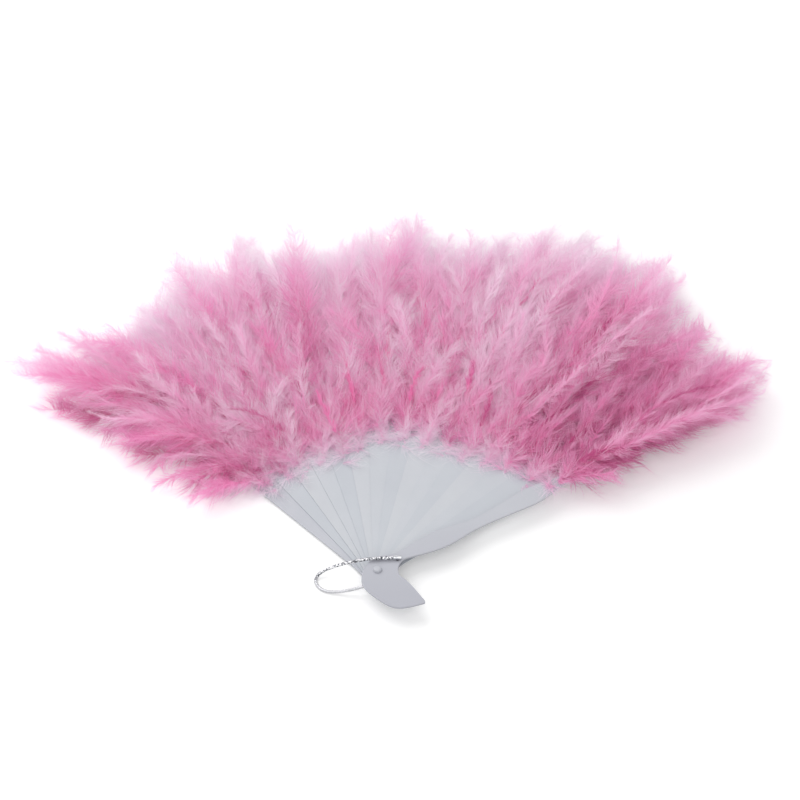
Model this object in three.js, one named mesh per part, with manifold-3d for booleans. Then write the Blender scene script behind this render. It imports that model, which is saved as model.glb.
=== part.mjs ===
// Folding feather fan, open and lying on a table.
// Millimetres, +Z up. The pivot axis is Z, the table is Z = 0 and the fan spreads towards +Y.
// Sticks are numbered from the rear guard, at the bottom of the stack, to the front guard on top.

import * as THREE from "three";
import { mergeVertices } from "three/addons/utils/BufferGeometryUtils.js";
import Module from "manifold-3d";

const wasm = await Module();
wasm.setup();

// Spread of the sticks
const STICK_COUNT = 15;
const REAR_GUARD_ANGLE = 131.5; // degrees from +X
const OPENING_ANGLE = 99.5; // degrees from the rear guard to the front guard

// Clearances
const RUNNING_GAP = 0.08; // between stacked pieces that slide on each other
const FIXED_GAP = 0.3; // between pieces that are fastened to each other

// Plain sticks: a round butt, a slim neck, a blade that widens to its shoulder, and a tongue in the feathers
const STAVE_THICKNESS = 0.42;
const REAR_GUARD_THICKNESS = 1.4;
const BUTT_RADIUS = 4.8;
const BUTT_ARC_START = 70; // degrees from the stick's axis
const NECK_AT = 20;
const NECK_WIDTH = 7.2;
const SHOULDER_AT = 130;
const STAVE_OVERLAP = 1.3; // how far a blade's edge passes the edge of the next one, at the shoulder
const REAR_GUARD_EXTRA_WIDTH = 1.2;
const TONGUE_AT = 147;
const TONGUE_WIDTH = 7;
const TONGUE_END = 205;

// Front guard: a waisted blade with a curved tail. Each width has the shift of its middle towards the staves.
const FRONT_GUARD_THICKNESS = 1.5;
const GUARD_BEVEL = 0.35;
const GUARD_NECK_WIDTH = 7;
const GUARD_NECK_SHIFT = 2.1;
const GUARD_BULGE_AT = 47;
const GUARD_BULGE_WIDTH = 14.4;
const GUARD_BULGE_SHIFT = 0.4;
const GUARD_WAIST_AT = 76;
const GUARD_WAIST_WIDTH = 8.2;
const GUARD_WAIST_SHIFT = -1;
const GUARD_BLADE_AT = 114;
const GUARD_BLADE_WIDTH = 13.8;
const GUARD_BLADE_SHIFT = -0.7;
const HEAD_TOP = 9; // from the pivot to the upper side of the head
const HEAD_BACK = 14.3; // from the pivot to the back of the head
const TAIL_FRONT = 9.8; // from the pivot to the front of the tail's root
const TAIL_LENGTH = 39; // from the pivot to the tail's tip
const TAIL_SWING = 11; // how far the tip swings forward of the pivot
const TAIL_BACK_BENDS = [
  [1, 0.1],
  [0.8, 0.6],
  [0.3, 0.87],
]; // points of the tail's back edge, as shares of HEAD_BACK and of TAIL_LENGTH
const TIP_HEIGHT = 4.7; // height of the rounded tip
const TIP_LEAN = 1.5; // how far the tip's front stands past its end
const BAY_DEPTH = 10.4; // finger bay, from the neck's lower edge down to the tail's front
const BAY_ROUNDING = 4.8;

// Pivot rivet: a post with a flat head, and a domed cap pressed on its end
const POST_RADIUS = 1.6;
const POST_CLEARANCE = 0.3;
const RIVET_HEAD_RADIUS = 3.4;
const RIVET_HEAD_HEIGHT = 1;
const RIVET_HEAD_CHAMFER = 0.3;
const CAP_RADIUS = 2.9;
const CAP_RIM = 0.5;
const CAP_HEIGHT = 1.9;
const CAP_DOME = [
  [0.86, 0.67],
  [0.5, 1],
]; // points of the dome, as shares of its radius and of its height over the rim
const CAP_BORE_DEPTH = 1.1;
const SPACER_RADIUS = 4;
const ROUND_SIDES = 24;

// Wrist cord and the crimped clip that holds both its ends in the neck of the front guard
const CORD_DIAMETER = 2.2;
const CORD_SIDES = 8;
const CORD_STEPS = 44;
const CORD_TABLE_GAP = 0.1;
const CLIP_WALL = 0.3;
const CLIP_LENGTH = 5;
const CLIP_PIN_RADIUS = 0.9;
const CLIP_AT = 15.5; // along the front guard
const CLIP_SHIFT = 0.7; // towards the staves
const CLIP_FRONT_ANGLE = 183; // degrees from +X, the way the cord leaves the front barrel
const CLIP_BACK_ANGLE = 261; // degrees from +X, the way the cord leaves the back barrel
const CLIP_SIDES = 12;

// Ribbon that links the tongues inside the feathers and stops the fan at its full opening
const RIBBON_AT = 168;
const RIBBON_WIDTH = 6;
const RIBBON_THICKNESS = 0.3;

// Plumes: one soft tuft on each stick, over the blade's end and round its tongue
const PLUME_ROOT_REAR = 98; // distance of the first feathers from the pivot
const PLUME_ROOT_FRONT = 128;
const PLUME_REACH_REAR = 290; // distance of the feather tips from the pivot
const PLUME_REACH_FRONT = 302;
const PLUME_REACH_RIPPLE = 6;
const PLUME_ROOT_THICKNESS = 7;
const PLUME_THICKNESS = 19; // at the crest, over the sticks that the feathers lie on
const PLUME_THICKNESS_RIPPLE = 2;
const PLUME_RIPPLE_STEP = 2.2; // radians from one stick to the next
const PLUME_CREST_AT = 0.75; // share of the plume's length in which it swells to its full thickness
const PLUME_FALL = 0.15; // share of its thickness that the plume loses from its crest to its tip
const TUFT_ROWS = 5; // rows of feathers, each with its tips over the roots of the next
const TUFT_STEP = 5; // how far a row's tips stand over the next row
const TUFT_RUN = 3; // length in which a row's tips drop to the next row
const PLUME_ROOT_SHARE = 0.75; // width of the root as a share of the plume's full width there
const PLUME_TIP_LIFT = 9;
const PLUME_TIP_SHARE = 0.4; // width of the tip as a share of the plume's full width there
const PLUME_TIP_ROUNDING = 5; // power with which the plume narrows to its tip
const PLUME_LIFT_ROUNDING = 4; // power with which the plume's underside rises to its tip
const PLUME_GAP = 0.4; // from a plume to the plane between it and the next
const PLUME_BACK_STEP = 4; // from the tongue's start to the feathers behind it
const REAR_FLARE = 18; // degrees that the rear plume spreads past its guard
const FRONT_FLARE = 6; // degrees that the front plume spreads past its guard
const FLARE_RUN = 0.5; // share of the plume's length in which it reaches its full spread
const FLARE_DROOP = 0.55; // share of its height that a plume loses where it spreads past its guard
const PLUME_SIDES = 12;
const PLUME_SQUARENESS = 0.55;
const PLUME_TIP_ROW = [0.5, 0.8]; // stations in the last row, where the plume narrows

const { degToRad } = THREE.MathUtils;
const LAST = STICK_COUNT - 1;
const PITCH = degToRad(OPENING_ANGLE) / LAST;
const HOLE_RADIUS = POST_RADIUS + POST_CLEARANCE;
const BARREL_RADIUS = CORD_DIAMETER / 2 + CLIP_WALL;
const CORD_GAP = 2 * BARREL_RADIUS + 2 * FIXED_GAP;

// Materials
const plastic = new THREE.MeshStandardMaterial({ color: "#dde1e7", roughness: 0.35, metalness: 0 });
const rivetPlastic = new THREE.MeshStandardMaterial({ color: "#eceef1", roughness: 0.3, metalness: 0 });
const feather = new THREE.MeshStandardMaterial({ color: "#e99cc2", roughness: 0.95, metalness: 0 });
const silverCord = new THREE.MeshStandardMaterial({ color: "#c8cbd1", roughness: 0.35, metalness: 0.8 });
const clipMetal = new THREE.MeshStandardMaterial({ color: "#a9adb3", roughness: 0.3, metalness: 1 });
const satin = new THREE.MeshStandardMaterial({ color: "#f0bcd4", roughness: 0.5, metalness: 0 });

const fan = new THREE.Group();

// Adds a piece that was made along +X, turned to a stick's direction and raised to its height.
function addPiece(name, geometry, material, turn = 0, height = 0) {
  const mesh = new THREE.Mesh(geometry, material);
  mesh.name = name;
  mesh.rotation.z = turn;
  mesh.position.z = height;
  fan.add(mesh);
}

function numbered(name, number) {
  return `${name}_${String(number).padStart(2, "0")}`;
}

// Solids for joins and cuts
function toSolid(geometry) {
  const bare = geometry.clone();
  bare.deleteAttribute("normal");
  bare.deleteAttribute("uv");
  const merged = mergeVertices(bare, 1e-4);
  const vertProperties = merged.attributes.position.array;
  const triVerts = new Uint32Array(merged.index.array);
  return new wasm.Manifold(new wasm.Mesh({ numProp: 3, vertProperties, triVerts }));
}

function toGeometry(solid) {
  const { vertProperties, triVerts } = solid.getMesh();
  const geometry = new THREE.BufferGeometry();
  geometry.setAttribute("position", new THREE.BufferAttribute(vertProperties, 3));
  geometry.setIndex(new THREE.BufferAttribute(triVerts, 1));
  geometry.computeVertexNormals();
  return geometry;
}

// Closes a row of rings, all with the same number of points, into one solid. The rings run round +X.
function loft(rings) {
  const count = rings[0].length;
  const end = (rings.length - 1) * count;
  const faces = [];
  for (let ring = 0; ring < end; ring += count) {
    for (let side = 0; side < count; side++) {
      const next = (side + 1) % count;
      const [a, b] = [ring + side, ring + next];
      faces.push(a, b, b + count, a, b + count, a + count);
    }
  }
  for (let side = 1; side + 1 < count; side++) {
    faces.push(0, side + 1, side, end, end + side, end + side + 1);
  }
  const geometry = new THREE.BufferGeometry().setFromPoints(rings.flat());
  geometry.setIndex(faces);
  return geometry;
}

// A profile of [radius, height] pairs turned round the pivot axis
function turned(profile) {
  const points = profile.map(([radius, height]) => new THREE.Vector2(radius, height));
  return new THREE.LatheGeometry(points, ROUND_SIDES).rotateX(Math.PI / 2);
}

// Directions and levels of the stack
function stickAngle(stick) {
  return degToRad(REAR_GUARD_ANGLE) - stick * PITCH;
}

function stickThickness(stick) {
  if (stick === 0) return REAR_GUARD_THICKNESS;
  return stick === LAST ? FRONT_GUARD_THICKNESS : STAVE_THICKNESS;
}

function stickBottom(stick) {
  const rearGuard = RIVET_HEAD_HEIGHT + RUNNING_GAP;
  if (stick === 0) return rearGuard;
  const firstStave = rearGuard + REAR_GUARD_THICKNESS + RUNNING_GAP;
  const staves = Math.min(stick, LAST) - 1;
  const level = firstStave + staves * (STAVE_THICKNESS + RUNNING_GAP);
  return stick === LAST ? level - RUNNING_GAP + CORD_GAP : level;
}

function stickTop(stick) {
  return stickBottom(stick) + stickThickness(stick);
}

// Plates
function roundHole(x, y, radius) {
  return new THREE.Path().absarc(x, y, radius, 0, 2 * Math.PI, true);
}

function plate(shape, thickness, bevel = 0) {
  const geometry = new THREE.ExtrudeGeometry(shape, {
    depth: thickness - 2 * bevel,
    bevelEnabled: bevel > 0,
    bevelThickness: bevel,
    bevelSize: bevel,
    bevelOffset: -bevel,
    bevelSegments: 2,
    curveSegments: 6,
  });
  return geometry.translate(0, 0, bevel);
}

// The tongue's outline, from the lower shoulder round its end to the upper shoulder
function tongueTo(shape, from, lower, upper) {
  const half = TONGUE_WIDTH / 2;
  const middle = (from + TONGUE_AT) / 2;
  const end = TONGUE_END - half;
  shape.bezierCurveTo(middle, lower, middle, -half, TONGUE_AT, -half);
  shape.lineTo(end, -half);
  shape.absarc(end, 0, half, -Math.PI / 2, Math.PI / 2, false);
  shape.lineTo(TONGUE_AT, half);
  shape.bezierCurveTo(middle, half, middle, upper, from, upper);
}

function plainStickShape(shoulderWidth) {
  const neck = NECK_WIDTH / 2;
  const shoulder = shoulderWidth / 2;
  const arc = degToRad(BUTT_ARC_START);
  const shape = new THREE.Shape();
  shape.moveTo(NECK_AT, -neck);
  shape.lineTo(SHOULDER_AT, -shoulder);
  tongueTo(shape, SHOULDER_AT, -shoulder, shoulder);
  shape.lineTo(NECK_AT, neck);
  shape.absarc(0, 0, BUTT_RADIUS, arc, 2 * Math.PI - arc, false);
  shape.holes.push(roundHole(0, 0, HOLE_RADIUS));
  return shape;
}

function frontGuardShape() {
  const edges = (at, width, shift) => ({
    lower: new THREE.Vector2(at, shift - width / 2),
    upper: new THREE.Vector2(at, shift + width / 2),
  });
  const neck = edges(NECK_AT, GUARD_NECK_WIDTH, GUARD_NECK_SHIFT);
  const bulge = edges(GUARD_BULGE_AT, GUARD_BULGE_WIDTH, GUARD_BULGE_SHIFT);
  const waist = edges(GUARD_WAIST_AT, GUARD_WAIST_WIDTH, GUARD_WAIST_SHIFT);
  const blade = edges(GUARD_BLADE_AT, GUARD_BLADE_WIDTH, GUARD_BLADE_SHIFT);
  const headTop = new THREE.Vector2(0, HEAD_TOP);
  const back = TAIL_BACK_BENDS.map(([out, down]) => new THREE.Vector2(-HEAD_BACK * out, -TAIL_LENGTH * down));
  const tip = new THREE.Vector2(TAIL_SWING, -TAIL_LENGTH);
  const tipFront = new THREE.Vector2(TAIL_SWING + TIP_LEAN, TIP_HEIGHT - TAIL_LENGTH);
  const tailFront = new THREE.Vector2(TAIL_FRONT, neck.lower.y - BAY_DEPTH);

  const shape = new THREE.Shape();
  shape.moveTo(neck.lower.x, neck.lower.y);
  shape.splineThru([bulge.lower, waist.lower, blade.lower]);
  tongueTo(shape, blade.lower.x, blade.lower.y, blade.upper.y);
  shape.splineThru([waist.upper, bulge.upper, neck.upper, headTop, ...back, tip]);
  shape.quadraticCurveTo(tipFront.x + TIP_LEAN / 2, tip.y, tipFront.x, tipFront.y);
  shape.quadraticCurveTo(tipFront.x, tailFront.y - BAY_DEPTH / 2, tailFront.x, tailFront.y);
  shape.bezierCurveTo(
    tailFront.x,
    tailFront.y + BAY_ROUNDING,
    neck.lower.x - BAY_ROUNDING,
    neck.lower.y,
    neck.lower.x,
    neck.lower.y,
  );
  shape.holes.push(roundHole(0, 0, HOLE_RADIUS));
  shape.holes.push(roundHole(CLIP_AT, CLIP_SHIFT, CLIP_PIN_RADIUS + FIXED_GAP));
  return shape;
}

function addSticks() {
  const staveWidth = 2 * SHOULDER_AT * Math.sin(PITCH / 2) + STAVE_OVERLAP;
  const rearGuard = plate(
    plainStickShape(staveWidth + REAR_GUARD_EXTRA_WIDTH),
    REAR_GUARD_THICKNESS,
    GUARD_BEVEL,
  );
  addPiece("rear_guard", rearGuard, plastic, stickAngle(0), stickBottom(0));
  for (let stick = 1; stick < LAST; stick++) {
    const stave = plate(plainStickShape(staveWidth), STAVE_THICKNESS);
    addPiece(numbered("stave", stick), stave, plastic, stickAngle(stick), stickBottom(stick));
  }
  const frontGuard = plate(frontGuardShape(), FRONT_GUARD_THICKNESS, GUARD_BEVEL);
  addPiece("front_guard", frontGuard, plastic, stickAngle(LAST), stickBottom(LAST));
}

function addPivot() {
  const capBottom = stickTop(LAST) + RUNNING_GAP;
  const boreTop = capBottom + CAP_BORE_DEPTH;
  const postTop = boreTop - RUNNING_GAP;
  const rivet = turned([
    [0, 0],
    [RIVET_HEAD_RADIUS - RIVET_HEAD_CHAMFER, 0],
    [RIVET_HEAD_RADIUS, RIVET_HEAD_CHAMFER],
    [RIVET_HEAD_RADIUS, RIVET_HEAD_HEIGHT],
    [POST_RADIUS, RIVET_HEAD_HEIGHT],
    [POST_RADIUS, postTop],
    [0, postTop],
  ]);
  addPiece("pivot_rivet", rivet, rivetPlastic);

  const bore = POST_RADIUS + RUNNING_GAP;
  const rimTop = capBottom + CAP_RIM;
  const capTop = capBottom + CAP_HEIGHT;
  const cap = turned([
    [0, boreTop],
    [bore, boreTop],
    [bore, capBottom],
    [CAP_RADIUS, capBottom],
    [CAP_RADIUS, rimTop],
    ...CAP_DOME.map(([out, up]) => [CAP_RADIUS * out, THREE.MathUtils.lerp(rimTop, capTop, up)]),
    [0, capTop],
  ]);
  addPiece("rivet_cap", cap, rivetPlastic);

  const spacerBottom = stickTop(LAST - 1) + RUNNING_GAP;
  const spacerTop = stickBottom(LAST) - RUNNING_GAP;
  const spacer = turned([
    [HOLE_RADIUS, spacerBottom],
    [SPACER_RADIUS, spacerBottom],
    [SPACER_RADIUS, spacerTop],
    [HOLE_RADIUS, spacerTop],
    [HOLE_RADIUS, spacerBottom],
  ]);
  addPiece("spacer_washer", spacer, rivetPlastic);
}

// The clip's middle and the levels of its two barrels
const clipMiddle = new THREE.Vector2(CLIP_AT, CLIP_SHIFT).rotateAround(new THREE.Vector2(), stickAngle(LAST));
const frontLevel = stickTop(LAST) + FIXED_GAP + BARREL_RADIUS;
const gapLevel = stickBottom(LAST) - CORD_GAP / 2;

// The point on the cord's side of a barrel, that far from its middle
function barrelPoint(angle, level, distance) {
  const turn = degToRad(angle);
  return new THREE.Vector3(
    clipMiddle.x + distance * Math.cos(turn),
    clipMiddle.y + distance * Math.sin(turn),
    level,
  );
}

function addClip() {
  const barrel = (angle, level) => {
    const geometry = new THREE.CylinderGeometry(BARREL_RADIUS, BARREL_RADIUS, CLIP_LENGTH, CLIP_SIDES);
    geometry.rotateZ(degToRad(angle) - Math.PI / 2);
    return toSolid(geometry.translate(clipMiddle.x, clipMiddle.y, level));
  };
  const pin = new THREE.CylinderGeometry(
    CLIP_PIN_RADIUS,
    CLIP_PIN_RADIUS,
    frontLevel - gapLevel,
    CLIP_SIDES,
  );
  pin.rotateX(Math.PI / 2).translate(clipMiddle.x, clipMiddle.y, (frontLevel + gapLevel) / 2);
  const clip = barrel(CLIP_FRONT_ANGLE, frontLevel)
    .add(barrel(CLIP_BACK_ANGLE, gapLevel))
    .add(toSolid(pin));
  addPiece("cord_clip", toGeometry(clip), clipMetal);
}

// The cord leaves the clip's front barrel, drops to the table at the left, comes back under the head of the
// front guard and ends in the back barrel.
function addCord() {
  const radius = CORD_DIAMETER / 2;
  const table = radius + CORD_TABLE_GAP;
  const end = CLIP_LENGTH / 2 + FIXED_GAP;
  const points = [
    barrelPoint(CLIP_FRONT_ANGLE, frontLevel, end),
    new THREE.Vector3(5, 8.3, frontLevel),
    new THREE.Vector3(0, 8, frontLevel),
    new THREE.Vector3(-6, 7.5, frontLevel - 0.1),
    new THREE.Vector3(-12, 6.9, frontLevel - 0.8),
    new THREE.Vector3(-18, 6.7, frontLevel - 2.4),
    new THREE.Vector3(-24, 6.8, 10.6),
    new THREE.Vector3(-29.5, 7, 7.4),
    new THREE.Vector3(-34.5, 6.8, 4.4),
    new THREE.Vector3(-38.2, 5, 2.2),
    new THREE.Vector3(-39.8, 1.8, 1.4),
    new THREE.Vector3(-39.2, -1.8, table),
    new THREE.Vector3(-36.6, -5.4, table),
    new THREE.Vector3(-32, -7.8, 1.4),
    new THREE.Vector3(-25, -8.7, 2.3),
    new THREE.Vector3(-18, -9, 4.2),
    new THREE.Vector3(-12, -9.2, 6.8),
    new THREE.Vector3(-6.5, -9.4, gapLevel - 1),
    new THREE.Vector3(-1, -9, gapLevel),
    new THREE.Vector3(4, -7.4, gapLevel),
    new THREE.Vector3(8, -4.4, gapLevel),
    new THREE.Vector3(10.7, -0.6, gapLevel),
    new THREE.Vector3(12, 3, gapLevel),
    barrelPoint(CLIP_BACK_ANGLE, gapLevel, end),
  ];
  const section = new THREE.Shape();
  for (let side = 0; side < CORD_SIDES; side++) {
    const turn = (2 * Math.PI * (side + 0.5)) / CORD_SIDES;
    const [x, y] = [radius * Math.cos(turn), radius * Math.sin(turn)];
    if (side === 0) section.moveTo(x, y);
    else section.lineTo(x, y);
  }
  const cord = new THREE.ExtrudeGeometry(section, {
    steps: CORD_STEPS,
    extrudePath: new THREE.CatmullRomCurve3(points, false, "centripetal"),
  });
  addPiece("wrist_cord", cord, silverCord);
}

// The ribbon from one stick to the next, in the first stick's frame. It grows on all sides for cuts.
function ribbonGeometry(stick, grow = 0) {
  const tongue = TONGUE_WIDTH / 2;
  const near = tongue + FIXED_GAP - grow;
  const far = RIBBON_AT * Math.sin(PITCH) + grow;
  const rise = far - tongue;
  const nearTop = stickTop(stick) + grow;
  const farTop = stickBottom(stick + 1) - RUNNING_GAP + grow;
  const depth = RIBBON_THICKNESS + 2 * grow;
  const side = new THREE.Shape();
  side.moveTo(near, nearTop);
  side.lineTo(near, nearTop - depth);
  side.lineTo(near + grow, nearTop - depth);
  side.lineTo(rise, farTop - depth);
  side.lineTo(far, farTop - depth);
  side.lineTo(far, farTop);
  side.lineTo(rise, farTop);
  side.lineTo(near + grow, nearTop);
  const strip = new THREE.ExtrudeGeometry(side, { depth: RIBBON_WIDTH + 2 * grow, bevelEnabled: false });
  // The strip's profile lies across the stick, with its run towards the next stick.
  const across = new THREE.Matrix4().makeBasis(
    new THREE.Vector3(0, -1, 0),
    new THREE.Vector3(0, 0, 1),
    new THREE.Vector3(-1, 0, 0),
  );
  return strip.applyMatrix4(across).translate(RIBBON_AT + RIBBON_WIDTH / 2 + grow, 0, 0);
}

function addRibbons() {
  for (let stick = 0; stick < LAST; stick++) {
    addPiece(numbered("ribbon", stick + 1), ribbonGeometry(stick), satin, stickAngle(stick));
  }
}

// The channel that a stick's tongue needs inside its plume
function tongueChannel(stick) {
  const start = TONGUE_AT - FIXED_GAP;
  const length = TONGUE_END + FIXED_GAP - start;
  const height = stickThickness(stick) + 2 * FIXED_GAP;
  const channel = new THREE.BoxGeometry(length, TONGUE_WIDTH + 2 * FIXED_GAP, height);
  return channel.translate(start + length / 2, 0, (stickBottom(stick) + stickTop(stick)) / 2);
}

// A plume's cross-section at a distance from the pivot: a rounded box between its neighbours
function plumeRing(stick, distance, share, bottom, top, flare) {
  const left = PITCH / 2 + (stick === 0 ? flare * degToRad(REAR_FLARE) : 0);
  const right = PITCH / 2 + (stick === LAST ? flare * degToRad(FRONT_FLARE) : 0);
  const leftEdge = share * (distance * Math.tan(left) - PLUME_GAP);
  const rightEdge = share * (PLUME_GAP - distance * Math.tan(right));
  const middle = share * distance * Math.tan(PITCH / 2);
  const widest = Math.max(leftEdge, -rightEdge);
  const soften = (value) => Math.sign(value) * Math.abs(value) ** PLUME_SQUARENESS;
  const first = Math.PI / PLUME_SIDES;
  const corner = soften(Math.cos(first));
  const ring = [];
  for (let side = 0; side < PLUME_SIDES; side++) {
    const turn = first + (2 * Math.PI * side) / PLUME_SIDES;
    const across = (1 + soften(Math.cos(turn)) / corner) / 2;
    const up = (1 + soften(Math.sin(turn)) / corner) / 2;
    const y = THREE.MathUtils.lerp(rightEdge, leftEdge, across);
    const droop = FLARE_DROOP * Math.max(0, (Math.abs(y) - middle) / widest);
    const z = THREE.MathUtils.lerp(bottom, top, up * (1 - droop));
    ring.push(new THREE.Vector3(distance, y, z));
  }
  return ring;
}

function plumeGeometry(stick) {
  const part = stick / LAST;
  const root = THREE.MathUtils.lerp(PLUME_ROOT_REAR, PLUME_ROOT_FRONT, part * part);
  const ripple = Math.sin(PLUME_RIPPLE_STEP * stick);
  const evenReach = THREE.MathUtils.lerp(PLUME_REACH_REAR, PLUME_REACH_FRONT, part);
  const reach = evenReach + PLUME_REACH_RIPPLE * ripple;
  const back = TONGUE_AT + PLUME_BACK_STEP;
  // Over the blades the feathers lie on the stick and on the edge of the next stave.
  const seat = stickTop(stick >= LAST - 1 ? stick : stick + 1) + FIXED_GAP;
  const swelling = PLUME_THICKNESS + PLUME_THICKNESS_RIPPLE * ripple - PLUME_ROOT_THICKNESS;
  const along = (distance) => (distance - root) / (reach - root);
  const top = (distance) => {
    const rise = Math.min(1, along(distance) / PLUME_CREST_AT);
    const fall = Math.max(0, (along(distance) - PLUME_CREST_AT) / (1 - PLUME_CREST_AT));
    const swell = Math.sin((rise * Math.PI) / 2) - PLUME_FALL * fall * fall;
    const row = along(distance) * TUFT_ROWS;
    const tuft = Math.min(row, TUFT_ROWS - 1 / 2) % 1;
    return seat + PLUME_ROOT_THICKNESS + swelling * swell + TUFT_STEP * (tuft - 1 / 2);
  };
  const ring = (distance) => {
    const behind = back + 1;
    const run = Math.max(0, (distance - behind) / (reach - behind));
    const narrowing = 1 - (1 - PLUME_TIP_SHARE) * run ** PLUME_TIP_ROUNDING;
    const share = distance === root ? PLUME_ROOT_SHARE : narrowing;
    const bottom = distance < behind ? seat : PLUME_TIP_LIFT * run ** PLUME_LIFT_ROUNDING;
    const flare = Math.min(1, along(distance) / FLARE_RUN);
    return plumeRing(stick, distance, share, bottom, top(distance), flare);
  };

  const distances = [root, back, back + 1, reach];
  for (let row = 1; row < TUFT_ROWS; row++) {
    const end = THREE.MathUtils.lerp(root, reach, row / TUFT_ROWS);
    distances.push(end - TUFT_RUN / 2, end + TUFT_RUN / 2);
  }
  for (const station of PLUME_TIP_ROW) {
    distances.push(THREE.MathUtils.lerp(root, reach, 1 - (1 - station) / TUFT_ROWS));
  }
  distances.sort((a, b) => a - b);
  return loft(distances.map(ring));
}

function addPlumes() {
  for (let stick = 0; stick < STICK_COUNT; stick++) {
    let plume = toSolid(plumeGeometry(stick)).subtract(toSolid(tongueChannel(stick)));
    if (stick < LAST) plume = plume.subtract(toSolid(ribbonGeometry(stick, FIXED_GAP)));
    if (stick > 0) {
      const before = ribbonGeometry(stick - 1, FIXED_GAP).rotateZ(PITCH);
      plume = plume.subtract(toSolid(before));
    }
    addPiece(numbered("plume", stick), toGeometry(plume), feather, stickAngle(stick));
  }
}

addSticks();
addPivot();
addClip();
addCord();
addRibbons();
addPlumes();

export default fan;
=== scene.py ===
import math
from collections import namedtuple

import bpy
import numpy as np
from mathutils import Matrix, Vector


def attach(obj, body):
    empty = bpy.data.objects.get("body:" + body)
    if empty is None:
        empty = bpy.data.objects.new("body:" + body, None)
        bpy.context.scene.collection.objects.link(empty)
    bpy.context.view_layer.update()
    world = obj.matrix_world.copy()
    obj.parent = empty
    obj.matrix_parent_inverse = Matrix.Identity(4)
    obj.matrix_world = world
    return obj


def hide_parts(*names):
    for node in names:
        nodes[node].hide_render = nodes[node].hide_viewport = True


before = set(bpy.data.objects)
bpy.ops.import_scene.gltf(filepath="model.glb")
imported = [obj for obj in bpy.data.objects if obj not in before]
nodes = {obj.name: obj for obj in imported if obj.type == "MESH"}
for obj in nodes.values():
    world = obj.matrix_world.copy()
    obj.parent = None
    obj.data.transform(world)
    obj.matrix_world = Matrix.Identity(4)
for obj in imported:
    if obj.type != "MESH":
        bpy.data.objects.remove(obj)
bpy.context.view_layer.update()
scene = bpy.context.scene
scene.view_settings.view_transform = "Standard"

# Angles are in degrees, and lengths in metres unless a comment says millimetres.
MM = 1000

# The fan, as in the part's source: sticks from the rear guard to the front guard.
STICKS = 15
LAST = STICKS - 1
MIDDLE = LAST // 2
REAR_ANGLE = 131.5
OPENING = 99.5
# Undersides and thicknesses of the sticks, in millimetres.
REAR_BOTTOM = 1.08
STAVE_BOTTOM = 2.56
STAVE_STEP = 0.5
FRONT_BOTTOM = 12.38
REAR_DEPTH = 1.4
STAVE_DEPTH = 0.42
FRONT_DEPTH = 1.5
STAVE_BOTTOMS = [STAVE_BOTTOM + STAVE_STEP * i for i in range(LAST - 1)]
STICK_BOTTOMS = [REAR_BOTTOM] + STAVE_BOTTOMS + [FRONT_BOTTOM]
STICK_DEPTHS = [REAR_DEPTH] + [STAVE_DEPTH] * (LAST - 1) + [FRONT_DEPTH]

# Camera: nearly parallel view from the front, 51 degrees above the table.
ELEVATION = 51.0
LENS = 1000.0
SENSOR = 36.0
CLIP = (0.1, 50.0)
VIEW_WIDTH = 0.5176
AIM = Vector((0.0145, 0.1405, 0.0139))


def make_camera():
    data = bpy.data.cameras.new("camera")
    data.lens = LENS
    data.sensor_width = SENSOR
    data.clip_start, data.clip_end = CLIP
    cam = bpy.data.objects.new("camera", data)
    scene.collection.objects.link(cam)
    tilt = math.radians(ELEVATION)
    back = Vector((0, -math.cos(tilt), math.sin(tilt)))
    cam.location = AIM + back * (VIEW_WIDTH * LENS / SENSOR)
    cam.rotation_euler = (-back).to_track_quat("-Z", "Y").to_euler()
    scene.camera = cam


make_camera()


# Helpers for shader nodes, colours and meshes.


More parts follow.
